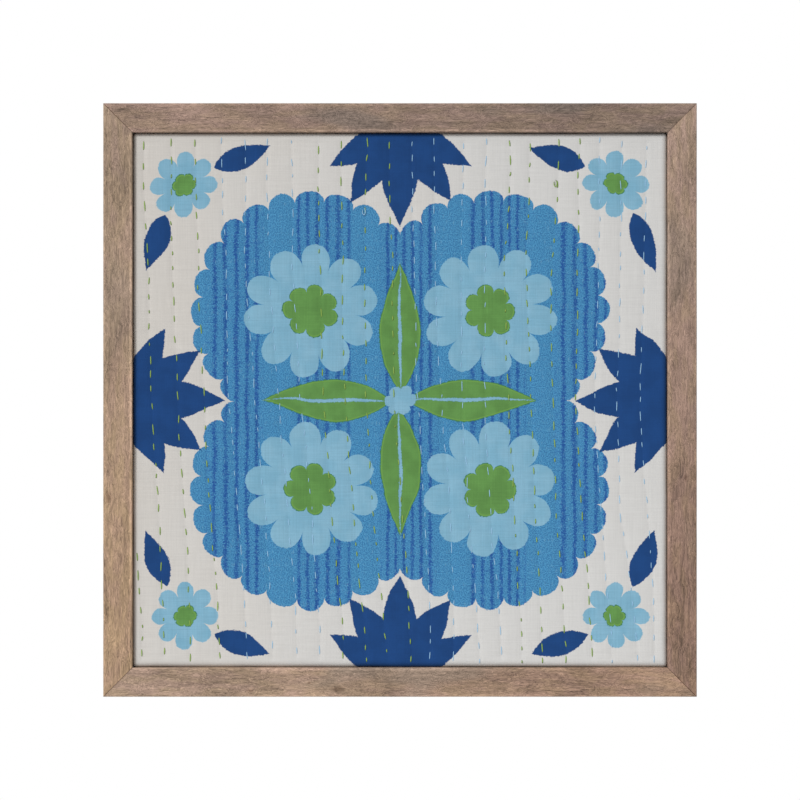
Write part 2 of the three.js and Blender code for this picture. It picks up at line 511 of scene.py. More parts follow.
def almond_leaf_group():
    """How far a point lies inside a leaf that grows from a base point at an angle."""
    inputs = floats("X", "Z", "Base X", "Base Z", "Angle", "Length", "Width")
    tree, n, given, result = new_group("almond leaf", inputs, floats("Inside", "From Rib"))
    x, z, base_x, base_z, angle, length, width = (given[label] for label in inputs)
    from_x, from_z = x - base_x, z - base_z
    cosine, sine = n.math("COSINE", angle), n.sine(angle)
    along = from_x * cosine + from_z * sine
    from_rib = abs(from_z * cosine - from_x * sine)
    share = n.math("DIVIDE", along, length, clamp=True)
    half_width = width * 0.5 * n.sine(share**0.85 * math.pi)
    from_ends = n.math("MINIMUM", along, length - along)
    n.fill(result, Inside=n.math("MINIMUM", half_width - from_rib, from_ends), From_Rib=from_rib)
    return tree


def ink_edge_group():
    """The share of ink at a distance inside a printed shape, whose edge follows the threads."""
    inputs = floats("Inside", "Jitter", "Softness")
    tree, n, given, result = new_group("ink edge", inputs, floats("Ink"))
    uneven = given["Inside"] + given["Jitter"]
    n.fill(result, Ink=n.math("ADD", uneven / given["Softness"], 0.5, clamp=True))
    return tree


def dry_streak_group():
    """The share of dark ink in the streaks down the blue: in bands, their edges nibbled by the cloth."""
    tree, n, given, result = new_group("dry streaks", {"Vector": "vector"}, floats("Share"))
    flat = given["Vector"]
    x = n.split(flat)[0] * 1000
    swayed = x + (n.noise(flat, (60, 24, 1), detail=3.0) - 0.5) * 5
    line = n.math("PINGPONG", (swayed + n.sine(x / 19) * 3) / 9.7, 0.5)
    nibbled = line + (n.noise(flat, (520, 620, 1)) - 0.5) * 0.95
    streak = n.between(nibbled, 0.26, 0.41)
    band = n.between(n.sine(x / 14.3 + 0.9), -0.6, -0.3)
    thin = n.between(n.noise(flat, (120, 22, 1)), 0.25, 0.5, 0.55, 1.0)
    beads = n.between(n.noise(flat, (150, 260, 1), (1.3, 0, 0)), 0.35, 0.55, 0.65, 1.05)
    rung = n.between(n.noise(flat, (42, 210, 1), (2.7, 0.4, 0)), 0.58, 0.72, 0.0, 0.5)
    n.fill(result, Share=n.largest(streak * (thin * beads) + 0.07, rung) * band)
    return tree


def block_print_group():
    """Where each colour of the print lies, from the cloth's unrolled coordinates in metres.
    A blue ground of four lobes with a daisy in each, a cross of leaves, palmettes and corner flowers."""
    outputs = floats("Mid Blue", "Stripe", "Light Blue", "Green", "Green Inside", "Navy")
    tree, n, given, result = new_group("block print", {"Vector": "vector"}, outputs)
    flower, leaf, edge = petal_flower_group(), almond_leaf_group(), ink_edge_group()
    flat = given["Vector"]

    # The hand-set blocks: the plan is drawn in millimetres on a slightly warped ground.
    warp = n.moved(n.noise(flat, 17.0, detail=2.5, output="Color"), (-0.5, -0.5, -0.5))
    x, z, _ = n.split(n.scaled(n.moved(flat, n.scaled(warp, 0.011)), 1000))
    whole, folded, swapped = (x, z), (abs(x), abs(z)), (abs(z), abs(x))
    jitter = (n.noise(flat, 900.0, detail=1.0) + n.noise(flat, 330.0, detail=1.0) - 1) * 2.1

    def inked(*shapes):
        return n.group(edge, Inside=n.largest(*shapes), Jitter=jitter, Softness=0.7)["Ink"]

    def flower_at(place, centre, petals, notch, tip, turn=0.0):
        across, up = (way - centre for way in place)
        made = n.group(flower, X=across, Z=up, Petals=petals, Notch=notch, Tip=tip, Turn=turn)
        return made["Inside"]

    def leaf_at(place, base_x, base_z, degrees, length, width):
        base = {"Base_X": base_x, "Base_Z": base_z, "Angle": math.radians(degrees)}
        return n.group(leaf, X=place[0], Z=place[1], **base, Length=length, Width=width)

    # The blue ground: four scalloped lobes towards the corners, and what joins them.
    mid = inked(flower_at(folded, 92, 24, 112, 124), flower_at(whole, 0, 8, 166, 170))

    # A daisy with a green eye in each lobe, and a smaller one in each corner of the cloth.
    daisies = inked(flower_at(folded, 92, 10, 44, 69, turn=0.2), flower_at(folded, 222, 8, 19, 34))
    eyes = [flower_at(folded, 92, 7, 19, 28), flower_at(folded, 222, 6, 9, 12)]

    # A cross of four long veined leaves between the daisies, and a seed head in its middle.
    leaves = [leaf_at(place, 8, 0, 0, 132, 44) for place in (folded, swapped)]
    seeds = inked(flower_at(whole, 0, 6, 11, 16))
    veins = inked(*(made["Inside"] * 0.09 - made["From Rib"] for made in leaves))
    over_green = n.largest(seeds, veins)
    green_inside = n.largest(*eyes, *(made["Inside"] for made in leaves))

    # The leaves of the palmettes at the middle of each side, and one on either hand of each corner
    # flower: the base's place, the way it grows in degrees, its length and its width.
    border = (
        (0, 278, -90, 98, 38),
        (0, 278, -55, 90, 35),
        (0, 278, -26, 82, 31),
        (192, 240, 160, 62, 25),
    )
    palmettes = [leaf_at(place, *shape)["Inside"] for place in (folded, swapped) for shape in border]

    n.fill(
        result,
        Mid_Blue=mid,
        Stripe=n.group(dry_streak_group(), Vector=flat)["Share"],
        Light_Blue=n.largest(daisies, over_green),
        Green=inked(green_inside) * (1 - over_green),
        Green_Inside=green_inside,
        Navy=inked(*palmettes),
    )
    return tree


# The surfaces of cotton, wood and thread


def plain_weave_group():
    """Shade, from -1 to 1, and height of a plain weave with slubs, from coordinates in metres."""
    inputs = {"Vector": "vector", "Pitch": "float"}
    tree, n, given, result = new_group("plain weave", inputs, floats("Shade", "Height"))
    flat = given["Vector"]
    across, up, _ = n.split(flat)
    step = 2 * math.pi / given["Pitch"]
    crossing = n.sine(across * step) * n.sine(up * step)
    slub_up = n.noise(flat, (900, 26, 1)) - 0.5
    slub_across = (n.noise(flat, (30, 900, 1), (3.3, 1.1, 0)) - 0.5) * 1.1
    slubs = slub_up + slub_across
    n.fill(result, Shade=crossing * 0.35 + slubs * 3.2, Height=crossing * 0.5 + slubs * 1.6)
    return tree


def open_grain_group():
    """Colour, roughness and height of a hardwood whose grain runs along X, in metres."""
    inputs = {"Vector": "vector", "Start": "colour", "End": "colour", **floats("Figure", "Shift")}
    outputs = {"Colour": "colour", **floats("Roughness", "Height")}
    tree, n, given, result = new_group("open grain", inputs, outputs)
    figure, shift = given["Figure"], given["Shift"]
    place = n.moved(given["Vector"], n.joined(shift, shift, shift))

    # The growth lines sway across the rail, more where the wood is figured, and curl a little.
    sway = (n.noise(place, (16, 30, 30), detail=3.0) - 0.5) * figure * 0.03
    curl = (n.noise(place, (40, 55, 55), (4.3, 0, 0), detail=1.0) - 0.5) * (9 * MM)
    lift = sway + curl
    swayed = n.moved(place, n.joined(0, lift, lift))

    lines = n.noise(swayed, (20, 440, 440), detail=5.0, roughness=0.65)
    fibre = n.noise(swayed, (55, 1000, 1000), detail=4.0, roughness=0.6)
    pore = n.between(n.noise(swayed, (110, 2600, 2600), (7.1, 0, 0), detail=1.0), 0.56, 0.66)
    fleck = n.between(n.noise(swayed, (100, 1400, 1400), (0, 4.7, 0)), 0.56, 0.70)
    patches = n.noise(place, (14, 40, 40), detail=3.0)
    rings = n.noise(swayed, (2.6, 70, 70), (0, 0, 2.2), detail=1.0)
    shown = n.between(n.noise(place, (9, 60, 60), (5.1, 0, 0)), 0.46, 0.62)
    ring = n.between(abs(rings - 0.5), 0.024, 0.004) * shown

    # One number for how light the wood is here, about 1.
    tone = lines * 1.4 - 0.26 + fibre * 1.1 + (patches - 0.5) + fleck * 0.42 - pore * 0.26 - ring * 0.24
    along = n.split(given["Vector"])[0]
    wood = n.mix_colour(n.between(along, -FRAME_HALF, FRAME_HALF), given["Start"], given["End"])

    # Some of it leans to pink, some to yellow and some to grey.
    lean = n.between(n.noise(place, (30, 110, 110), (1.9, 0, 0)), 0.35, 0.65)
    greying = n.between(n.noise(place, (8, 24, 24), (0, 3.3, 0)), 0.52, 0.7, 0.0, figure)
    tint = n.mix_colour(lean, (1.03, 0.98, 1.01), (1.02, 1.0, 0.93))
    tint = n.mix_colour(greying, tint, (0.80, 0.84, 0.88))
    n.fill(
        result,
        Colour=n.mix_colour(1.0, n.scaled(wood, tone), tint, "MULTIPLY"),
        Roughness=pore * 0.25 + 0.52,
        Height=lines * 0.5 - pore * 0.7,
    )
    return tree


def arris_wear_and_highlight_group():
    """How far a line that runs along X at the rail's front is made pale, from a point of the rail: partly
    wear, partly a painted highlight on the arris.
    """
    inputs = {"Vector": "vector", **floats("Line Z", "Reach")}
    tree, n, given, result = new_group("arris wear and highlight", inputs, floats("Wear"))
    place = given["Vector"]
    _, depth, up = n.split(place)
    reach = given["Reach"] * (n.noise(place, (60, 400, 400), detail=3.0) + 0.5)
    near = n.between(abs(up - given["Line Z"]) / reach, 1.0, 0.1)
    handled = n.between(n.noise(place, (11, 20, 20), detail=1.0), 0.38, 0.6, 0.25, 1.0)
    at_front = n.between(depth, FRAME_FRONT_Y + 3 * MM, FRAME_FRONT_Y + 1 * MM)
    n.fill(result, Wear=near * handled * at_front)
    return tree


def mitre_glue_and_shade_group():
    """The dark line along the diagonal joints at a rail's ends: glue and dust, and painted shade where the
    joint is open.
    """
    inputs = {"Vector": "vector", **floats("Width")}
    tree, n, given, result = new_group("mitre glue and shade", inputs, floats("Dark"))
    place = given["Vector"]
    along, _, up = n.split(place)
    off_joint = up * -1 - abs(along)
    width = given["Width"] * (n.noise(place, 160.0) + 0.4)
    line = n.between(off_joint / width, 1.0, 0.3)
    open_here = n.between(n.noise(place, 70.0, detail=1.0), 0.36, 0.58, 0.45, 0.9)
    n.fill(result, Dark=line * open_here)
    return tree


def small_knot_group():
    """A knot in a rail's face: where the grain lies that flows round it, and how dark a point is."""
    inputs = {"Vector": "vector", **floats("X", "Z", "Reach")}
    tree, n, given, result = new_group("small knot", inputs, {"Around": "vector", "Dark": "float"})
    place = given["Vector"]
    along, _, up = n.split(place)
    off_x = (along - given["X"]) / 2
    off_z = up - given["Z"]
    reach = given["Reach"] * (n.noise(place, 240.0) + 0.5)
    share = n.root(off_x**2 + off_z**2) / reach
    push = off_z * n.between(share, 3.4, 0.6) * -0.55
    n.fill(result, Around=n.moved(place, n.joined(0, 0, push)), Dark=n.between(share, 1.6, 0.2))
    return tree


def twisted_thread_group():
    """Shade and height of a two-ply thread: U runs along it in metres, V goes once round it."""
    tree, n, given, result = new_group("twisted thread", {"Vector": "vector"}, floats("Shade", "Height"))
    along, around, _ = n.split(given["Vector"])
    turns = along / (1.9 * MM) + around
    ply = abs(n.sine(turns * (2 * math.pi)))
    hairs = n.noise(given["Vector"], (2200, 9, 1))
    n.fill(result, Shade=ply * 0.5 + hairs * 0.5, Height=ply)
    return tree


def rail_material(name, look, groups, face_width):
    material, n, shader = new_material(f"{name} wood")
    place = n.signal("ShaderNodeTexCoord", output="Object")
    turned = n.mapped(place, Rotation=(0, -math.radians(look["turn"]), 0))

    grain_place, dark = turned, 0.0
    for along, inwards, reach in KNOTS_MM[name]:
        knot_z = inwards * MM - FRAME_HALF
        knot = n.group(groups["knot"], Vector=grain_place, X=along * MM, Z=knot_z, Reach=reach * MM)
        grain_place = knot["Around"]
        dark = n.largest(dark, knot["Dark"])
    start, end = (ink(code) for code in look["wood"])
    kind = {"Figure": look["figure"], "Shift": look["shift"]}
    wood = n.group(groups["grain"], Vector=grain_place, Start=start, End=end, **kind)

    # The inner edge is made pale by the rail's own share, the outer one a little: wear, with a painted
    # highlight on the arris.
    inner_line = -(FRAME_HALF - face_width) - 1.8 * MM
    outer_line = -FRAME_HALF + 1.2 * MM
    inner = n.group(groups["wear"], Vector=turned, Line_Z=inner_line, Reach=2.2 * MM)["Wear"]
    outer = n.group(groups["wear"], Vector=turned, Line_Z=outer_line, Reach=2.4 * MM)["Wear"]
    wear_and_highlight = n.largest(inner * look["wear"], outer * 0.25)
    # The mitre line is glue with painted shade where the joint is open.
    joint = n.group(groups["mitre"], Vector=turned, Width=0.9 * MM)["Dark"]
    colour = wood["Colour"]
    # The arrises are paled by wear and a painted highlight, the knots are darkened, and the mitres are
    # darkened by glue and painted shade.
    for share, tint in (
        (wear_and_highlight, (1.66, 1.66, 1.66)),
        (dark * 0.75, (0.50, 0.44, 0.40)),
        (joint, (0.42, 0.33, 0.28)),
    ):
        colour = n.mix_colour(share, colour, tint, "MULTIPLY")
    relief = n.bump(wood["Height"], 0.35 * MM, 0.8)
    n.fill(shader, Base_Color=colour, Roughness=wood["Roughness"], Specular_IOR_Level=0.28, Normal=relief)
    return material


def board_material():
    material, n, shader = new_material("pressed board")
    place = n.signal("ShaderNodeTexCoord", output="Object")
    chip_place = n.mapped(place, Scale=(1, 1, 1.6))
    chips = n.signal("ShaderNodeTexVoronoi", {"Vector": chip_place, "Scale": 420.0}, "Color")
    fibres = n.noise(place, (620, 620, 260), detail=4.0)
    spread = n.noise(place, 14.0, detail=4.0) * 0.2 + fibres * 0.8
    base = n.mix_colour(n.between(spread, 0.3, 0.7), ink("7d5f41"), ink("a78a66"))
    flaked = n.mix_colour(0.18, base, chips, "OVERLAY")
    n.fill(shader, Base_Color=flaked, Roughness=0.85, Normal=n.bump(fibres, 0.2 * MM, 0.6))
    return material


def printed_cotton_material(looks):
    material, n, shader = new_material("printed cotton")
    flat = n.signal("ShaderNodeUVMap", uv_map=UV_LAYER)
    inks = n.group(block_print_group(), Vector=flat)
    weave = n.group(plain_weave_group(), Vector=flat, Pitch=0.8 * MM)

    # The bare cotton is a little warmer along the left side and towards the top, and cloudy.
    across, up, _ = n.split(flat)
    cloudy = n.noise(flat, 7.0, detail=3.0)
    warmth = n.between(across * -2 + up * 0.4 + cloudy, 0.2, 1.3)
    colour = n.mix_colour(warmth, looks.ground[:], shade(looks.ground, 0.985, 0.945, 0.90))

    # The blue is stippled and streaked, and flecks of light blue show in it.
    stipple = n.noise(flat, (1050, 820, 1), roughness=0.6)
    speckled = n.between(stipple, 0.42, 0.58)
    streaked = inks["Stripe"] * n.between(stipple, 0.66, 0.42, 0.75, 1.0)
    flecked = n.between(n.noise(flat, (1300, 150, 1), detail=1.0), 0.62, 0.78, 0.0, 0.55)
    deep_blue = shade(looks.mid_blue, 0.6, 0.68, 0.78)
    pale_blue = shade(looks.mid_blue, 1.5, 1.36, 1.22)
    mid = n.mix_colour(speckled, deep_blue, pale_blue)
    mid = n.mix_colour(streaked, mid, looks.stripe_blue[:])
    mid = n.mix_colour(flecked, mid, looks.light_blue[:])

    # The other inks lie flatter. The green is pale at its border, and dark where it overlaps the blue.
    blotch = n.noise(flat, 45.0, detail=4.0)
    blotched = n.between(blotch, 0.35, 0.65)
    light = n.mix_colour(blotched, shade(looks.light_blue, 0.86, 0.93, 0.95), looks.light_blue[:])
    navy = n.mix_colour(blotched, shade(looks.navy, 0.88), looks.navy[:])
    green = n.mix_colour(n.between(blotch, 0.38, 0.62), shade(looks.green, 0.86), looks.green[:])
    at_border = n.between(inks["Green Inside"], 2.8, 1.4)
    over_blue = n.between(inks["Green Inside"], 1.2, 0.4)
    green = n.mix_colour(at_border, green, shade(looks.green, 1.22, 1.12, 0.92))
    green = n.mix_colour(over_blue, green, shade(looks.green, 0.38, 0.62, 1.0))
    for name, coat in {"Mid Blue": mid, "Light Blue": light, "Green": green, "Navy": navy}.items():
        colour = n.mix_colour(inks[name], colour, coat)

    weave_shown = inks["Light Blue"] * 0.03 + 0.045
    n.fill(
        shader,
        Base_Color=n.scaled(colour, weave["Shade"] * weave_shown + 1),
        Roughness=0.92,
        Specular_IOR_Level=0.15,
        Sheen_Weight=0.08,
        Sheen_Roughness=0.5,
        Normal=n.bump(weave["Height"], 0.06 * MM, 0.7),
    )
    return material


def thread_material(name, colour, painted_end_shade, twist):
    """A twisted thread with painted light and shade along its plies. Painted shade near its ends, where it
    goes into the cloth, lowers its colour to the given share.
    """
    material, n, shader = new_material(name)
    flat = n.signal("ShaderNodeUVMap", uv_map=UV_LAYER)
    thread = n.group(twist, Vector=flat)
    lit = n.mix_colour(n.between(thread["Shade"], 0.15, 0.7), shade(colour, 0.62), shade(colour, 1.12))
    # Painted shade: the colour falls towards each end of the thread, where it goes into the cloth.
    clear_of_end_shade = n.between(n.split(flat)[0], 0.5 * MM, 2.0 * MM)
    n.fill(
        shader,
        Base_Color=n.mix_colour(clear_of_end_shade, shade(colour, painted_end_shade), lit),
        Roughness=0.7,
        Sheen_Weight=0.15,
        Normal=n.bump(thread["Height"], 0.12 * MM, 0.8),
    )
    return material


# The rows of stitches, which both the cloth and the threads follow


def row_paths():
    """x of every row at each height of PATH_Z: the table's line, smoothed, with a hand's wobble."""
    heights = np.array(ROW_HEIGHTS_MM[::-1]) * MM
    reach = 30
    window = np.ones(2 * reach + 1) / (2 * reach + 1)
    paths = []
    for row, (_, *across) in enumerate(STITCH_ROWS_MM):
        line = np.interp(PATH_Z, heights, np.array(across[::-1]) * MM)
        padded = np.pad(line, reach, mode="reflect", reflect_type="odd")
        smoothed = np.convolve(padded, window, mode="valid")
        slow = soft_noise(PATH_Z, row * 9.0, 38 * MM, 1.0, 3.0)
        quick = soft_noise(PATH_Z, row * 5.0, 17 * MM, 1.0, 8.0)
        paths.append(smoothed + 0.9 * MM * (slow + 0.5 * quick))
    return np.array(paths)


def plan_stitches(settings, paths):
    """For each row, the stitches as (low x, low z, high x, high z)."""
    hand = random.Random(settings.seed)
    edge = PANEL_HALF - 2.2 * MM
    last_top = 3 * MM - edge
    shortest, longest, length_spread = 3.6 * MM, 12 * MM, 2.1 * MM
    least_gap, widest_gap, gap_spread = 5 * MM, 17 * MM, 2.4 * MM
    rows = []
    for path in paths:
        top = edge - hand.uniform(0, settings.stitch_gap)
        stitches = []
        while top > last_top:
            length = min(max(hand.gauss(settings.stitch_length, length_spread), shortest), longest)
            low = max(top - length, -edge)
            ends = [float(np.interp(z, PATH_Z, path)) + hand.uniform(-0.5, 0.5) * MM for z in (low, top)]
            if min(ends) > -edge:
                stitches.append((ends[0], low, ends[1], top))
            gap = hand.gauss(settings.stitch_gap, gap_spread)
            top = low - min(max(gap, least_gap), widest_gap)
        rows.append(stitches)
    return rows


def row_pulls(rows):
    """For each row, how hard the thread pulls at each height of PATH_Z: 1 where a stitch goes in."""
    reach = 2.4 * MM
    pulls = []
    for stitches in rows:
        pull = np.zeros_like(PATH_Z)
        for _, low, _, top in stitches:
            for end in (low, top):
                pull = np.maximum(pull, np.exp(-(((PATH_Z - end) / reach) ** 2)))
        pulls.append(pull)
    return np.array(pulls)


class QuiltedFace:
    """The hand-quilted front of the cloth: its rows, its stitches, and how deep it lies at a point."""

    def __init__(self, cloth, stitch):
        self.paths = row_paths()
        self.stitches = plan_stitches(stitch, self.paths)
        self.pulls = row_pulls(self.stitches)
        self.trough = cloth.trough_depth
        self.crinkle = cloth.crinkle

    def depth(self, x, z):
        """How far behind the flat front the face lies, at arrays of points."""
        x, z = np.asarray(x, float), np.asarray(z, float)
        off_rows = np.stack([np.abs(x - np.interp(z, PATH_Z, path)) for path in self.paths])
        nearest = off_rows.argmin(axis=0)
        off = off_rows.min(axis=0)
        pull = np.stack([np.interp(z, PATH_Z, line) for line in self.pulls])
        pull = np.take_along_axis(pull, nearest[None], axis=0)[0]
        narrow_reach, broad_reach = 2.3 * MM, 7.5 * MM
        narrow = np.exp(-((off / narrow_reach) ** 2))
        broad = np.exp(-((off / broad_reach) ** 2))
        trough = self.trough * (0.42 * narrow + 0.28 * broad) + 0.2 * self.trough * pull * narrow
        gathers = soft_noise(x, z, 14 * MM, 5.5 * MM, 1.0) * (0.25 + broad)
        swell = soft_noise(x, z, 60 * MM, 45 * MM, 5.0)
        depth = trough + self.crinkle * (0.6 * gathers + 0.4 * swell + 0.8)

        # The face comes up flat towards the panel's edges.
        flat_border, way_down = 3 * MM, 7 * MM
        from_edge = PANEL_HALF - np.maximum(np.abs(x), np.abs(z))
        return depth * eased(np.clip((from_edge - flat_border) / way_down, 0, 1))


# The shapes of the pieces


def make_base_rail(settings):
    """The bottom rail, modelled from a block: split, drawn out into the ledge, mitred and eased."""
    back_easing, mitre_easing = 0.5 * MM, 0.2 * MM
    near, touching = 0.1 * MM, 0.02 * MM
    ring_count = 70
    leave_selection()
    size = (2 * FRAME_HALF, FRAME_BACK_Y - FRAME_FRONT_Y, settings.face_width)
    inner_wall = -FRAME_HALF + settings.face_width
    centre = (0, (FRAME_BACK_Y + FRAME_FRONT_Y) / 2, -FRAME_HALF + settings.face_width / 2)
    bpy.ops.mesh.primitive_cube_add(size=1, location=centre, scale=size)
    rail = bpy.context.object
    bpy.ops.object.transform_apply(location=True, rotation=True, scale=True)
    bpy.ops.object.mode_set(mode="EDIT")

    # The ledge grows from the lower part of the rail's inner wall.
    ledge_front = FRAME_BACK_Y - settings.ledge_thickness
    bpy.ops.mesh.select_all(action="SELECT")
    bpy.ops.mesh.bisect(plane_co=(0, ledge_front, 0), plane_no=(0, 1, 0))
    pick("FACE", lambda face: face.normal.z > 0.9 and face.calc_center_median().y > ledge_front)
    reach = -LEDGE_INNER - inner_wall
    bpy.ops.mesh.extrude_region_move(TRANSFORM_OT_translate={"value": (0, 0, reach)})

    # Both ends are cut along the corner's diagonal, half the joint's gap short of it.
    end = FRAME_HALF - settings.mitre_gap / math.sqrt(2)
    for side in (-1, 1):
        bpy.ops.mesh.select_all(action="SELECT")
        bpy.ops.mesh.bisect(
            plane_co=(side * end, 0, -FRAME_HALF), plane_no=(side, 0, 1), use_fill=True, clear_outer=True
        )

    # The two front edges are rounded, the others only eased.
    pick("EDGE", lambda edge: runs_along(edge, 0) and middle(edge).y < FRAME_FRONT_Y + near)
    bpy.ops.mesh.bevel(offset=settings.arris_radius, segments=6, profile=0.5, affect="EDGES")
    pick("EDGE", lambda edge: runs_along(edge, 0) and middle(edge).y > FRAME_BACK_Y - near)
    bpy.ops.mesh.bevel(offset=back_easing, segments=2, profile=0.5, affect="EDGES")
    pick("EDGE", lambda edge: abs(abs(middle(edge).x) - (end - middle(edge).z - FRAME_HALF)) < touching)
    bpy.ops.mesh.bevel(offset=mitre_easing, segments=1, affect="EDGES")

    # Rings along the rail and lines across its face let the wear show.
    pick("EDGE", lambda edge: runs_along(edge, 0) and edge.calc_length() > FRAME_HALF)
    bpy.ops.mesh.subdivide(number_cuts=ring_count)
    bpy.ops.object.mode_set(mode="OBJECT")
    rail.select_set(False)
    return rail


def wear_rail(mesh, depth):
    """Moves the front edges in and out a little, as hand sanding leaves them."""
    lumps_a_metre, worn_part = 22, 4 * MM
    for vertex in mesh.vertices:
        place = vertex.co * lumps_a_metre
        dip = noise.noise(place) * 0.6 + noise.noise(place * 3.1 + Vector((7, 1, 3))) * 0.4
        front_share = min(max((FRAME_FRONT_Y + worn_part - vertex.co.y) / worn_part, 0), 1)
        vertex.co += vertex.normal * (-abs(dip) * depth * front_share)


def front_grid(face, flat):
    """x and z of the front's points. Its columns follow the rows of stitches down the cloth."""
    heights = np.linspace(-flat, flat, FRONT_LINES)
    # The first row lies mostly off the cloth, so no column follows it.
    stations = [np.interp(heights, PATH_Z, path) for path in face.paths[1:]]
    stations = [np.full_like(heights, -flat), *stations, np.full_like(heights, flat)]
    columns = []
    for left, right in zip(stations, stations[1:]):
        columns += [left + (right - left) * share for share in COLUMN_SHARES]
    grid_x = np.array([*columns, stations[-1]]).T
    return grid_x, np.broadcast_to(heights[:, None], grid_x.shape)


def lay_front(plan, face, grid_x, grid_z):
    """Adds the quilted front, from its bottom line up."""
    x, z = grid_x.ravel(), grid_z.ravel()
    plan.points += [Vector((a, PANEL_FRONT_Y + d, b)) for a, d, b in zip(x, face.depth(x, z), z)]
    down, across = grid_x.shape
    for line in range(down - 1):
        for column in range(across - 1):
            start = line * across + column
            corners = [start, start + 1, start + 1 + across, start + across]
            plan.add_face(corners, [(plan.points[i].x, plan.points[i].z) for i in corners])


def outline_points(down, across):
    """The front's outline clockwise from its top left. Each corner's point is repeated for its fan."""
    top = (down - 1) * across
    points = []
    for side in (
        range(top, top + across),
        range(top + across - 1, -1, -across),
        range(across - 1, -1, -1),
        range(0, top + 1, across),
    ):
        points += [*side, *[side[-1]] * (FAN_STEPS - 1)]
    return points


def ring_slots(grid_x, heights, flat):
    """The cloth's outline, slot by slot: the point of the flat face it starts from, and the way out."""
    sides = (
        ([(x, flat) for x in grid_x[-1]], (0, 1)),
        ([(flat, z) for z in heights[::-1]], (1, 0)),
        ([(x, -flat) for x in grid_x[0][::-1]], (0, -1)),
        ([(-flat, z) for z in heights], (-1, 0)),
    )
    slots = []
    for number, (points, way) in enumerate(sides):
        slots += [{"base": Vector(p), "way": Vector(way), "fanned": False} for p in points]
        corner = Vector(points[-1])
        for step in range(1, FAN_STEPS):
            angle = math.radians(90 - 90 * number - 90 * step / FAN_STEPS)
            out = Vector((math.cos(angle), math.sin(angle)))
            reach = sum(abs(part) ** CORNER_SQUARENESS for part in out) ** (1 / CORNER_SQUARENESS)
            slots.append({"base": corner, "way": out / reach, "fanned": True})
    return slots


def wrap_profile(settings, thickness):
    """The cloth's way round the board's edge, outside and back inside: for each ring, its inset from
    the panel's side, its y, and how much cloth lies between the flat front and the ring."""
    radius, margin, swell = settings.edge_radius, settings.turned_margin, settings.side_swell
    quarter = math.pi / 2 * radius
    straight = PANEL_BACK_Y - PANEL_FRONT_Y - 2 * radius
    angles = [math.pi / 2 * step / WRAP_STEPS for step in range(WRAP_STEPS + 1)]
    outside = []
    for angle in angles[1:]:
        inset = radius * (1 - math.sin(angle)) - swell * math.sin(angle)
        outside.append((inset, PANEL_FRONT_Y + radius * (1 - math.cos(angle)), radius * angle))
    for angle in angles:
        inset = radius * (1 - math.cos(angle)) - swell * math.cos(angle)
        turned = quarter + straight + radius * angle
        outside.append((inset, PANEL_BACK_Y - radius * (1 - math.sin(angle)), turned))
    for share in MARGIN_SHARES:
        inset = radius + (margin - radius) * share
        outside.append((inset, PANEL_BACK_Y, 2 * quarter + straight + inset - radius))

    end = 2 * quarter + straight + margin - radius
    back, front, eased_edge = PANEL_BACK_Y - thickness, PANEL_FRONT_Y + thickness, 1 * MM
    inside = [
        (margin, PANEL_BACK_Y - 0.3 * thickness, end),
        (margin, PANEL_BACK_Y - 0.7 * thickness, end),
        (margin - eased_edge, back, end),
        (radius, back, end),
        (thickness + eased_edge, back, end),
        (thickness, back - eased_edge, end),
        (thickness, front + eased_edge, end),
        (thickness + eased_edge, front, end),
    ]
    return outside, inside


def lay_ring(plan, slots, settings, ring_place, outside):
    """Adds one ring of points round the panel. Gives each slot's point and unrolled place."""
    inset, y, turned = ring_place
    radius = settings.edge_radius
    flat = PANEL_HALF - radius
    turned_over = inset > radius - 0.01 * MM
    at_cut = abs(inset - settings.turned_margin) < 1.1 * MM
    point_at, ring = {}, []
    for slot in slots:
        base, way = slot["base"], slot["way"]
        spot = base * ((PANEL_HALF - inset) / flat) if turned_over else base + way * (radius - inset)
        key = (round(base.x, 6), round(base.y, 6))
        at_corner = min(abs(base.x), abs(base.y)) > flat - 1e-7

        # Once the cloth is turned over, all the slots of a corner share one point.
        if not (turned_over and at_corner and key in point_at):
            waver = float(soft_noise(base.x, base.y, 31 * MM, 27 * MM, 2.0))
            frayed = float(soft_noise(base.x, base.y, 2.4 * MM, 2.6 * MM, 6.0))
            out = (OUTSIDE_WAVER if outside else INSIDE_WAVER) * waver
            if at_cut:
                out = CUT_WAVER * waver + CUT_FRAY * frayed
            spot = spot + way * out
            tucked = 0.0
            if turned_over and outside:
                tucked = CORNER_TUCK if at_corner else SIDE_TUCK * (1 + waver)
            point_at[key] = len(plan.points)
            plan.points.append(Vector((spot.x, y - tucked, spot.y)))

        if slot["fanned"]:
            unrolled = base + way * turned
        elif way.x == 0:
            unrolled = Vector((spot.x, way.y * (flat + turned)))
        else:
            unrolled = Vector((way.x * (flat + turned), spot.y))
        ring.append((point_at[key], unrolled))
    return ring


def join_rings(plan, first, second):
    """Adds the faces between two rings. Corners that are one point are used once."""
    for here in range(len(first)):
        after = (here + 1) % len(first)
        corners = {}
        for point, unrolled in (first[here], first[after], second[after], second[here]):
            corners.setdefault(point, tuple(unrolled))
        if len(corners) > 2:
            plan.add_face(list(corners), list(corners.values()))


